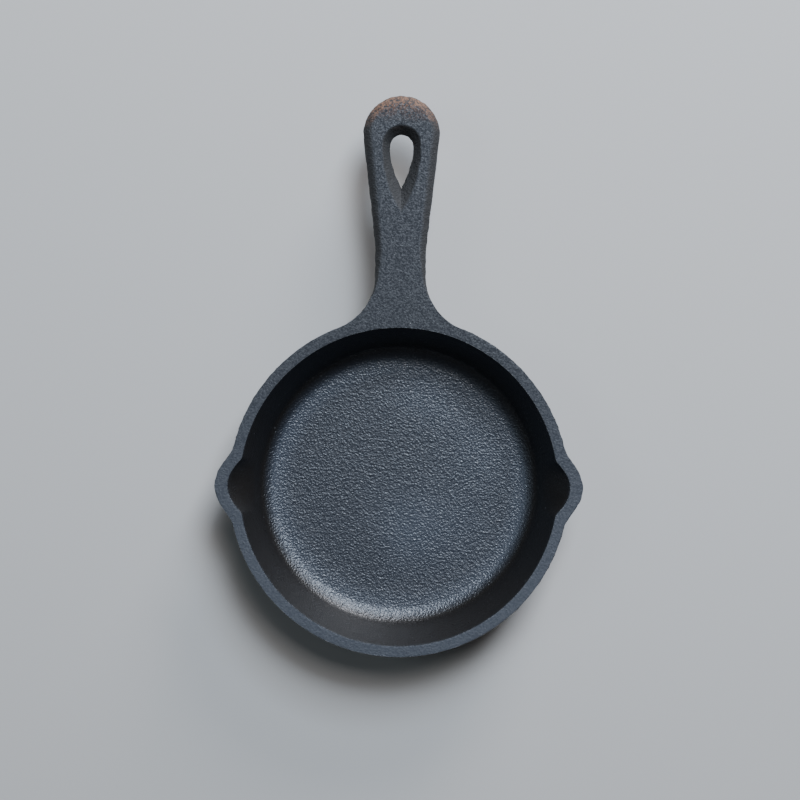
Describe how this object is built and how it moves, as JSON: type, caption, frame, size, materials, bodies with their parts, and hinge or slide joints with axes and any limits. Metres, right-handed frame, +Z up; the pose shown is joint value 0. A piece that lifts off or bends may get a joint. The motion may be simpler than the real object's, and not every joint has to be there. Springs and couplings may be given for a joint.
{
  "type": "cast iron skillet",
  "caption": "Small round cast iron skillet with sloped wall, flat rim, pour spouts on both sides and a short flat-topped handle with a teardrop hanging hole.",
  "frame": {"origin": "centre of the flat base, on the surface that the skillet stands on", "axes": "+Z up out of the pan, +Y from the middle of the pan along the handle, +X towards the right pour spout"},
  "size_m": [0.1374, 0.2092, 0.025],
  "materials": {
    "seasoned_cast_iron": "dark blue-grey seasoned sand-cast iron, pebbled and half glossy, with a brown tint on the tip of the handle"
  },
  "bodies": {
    "root": {"skillet_casting": "seasoned_cast_iron"}
  },
  "joints": []
}
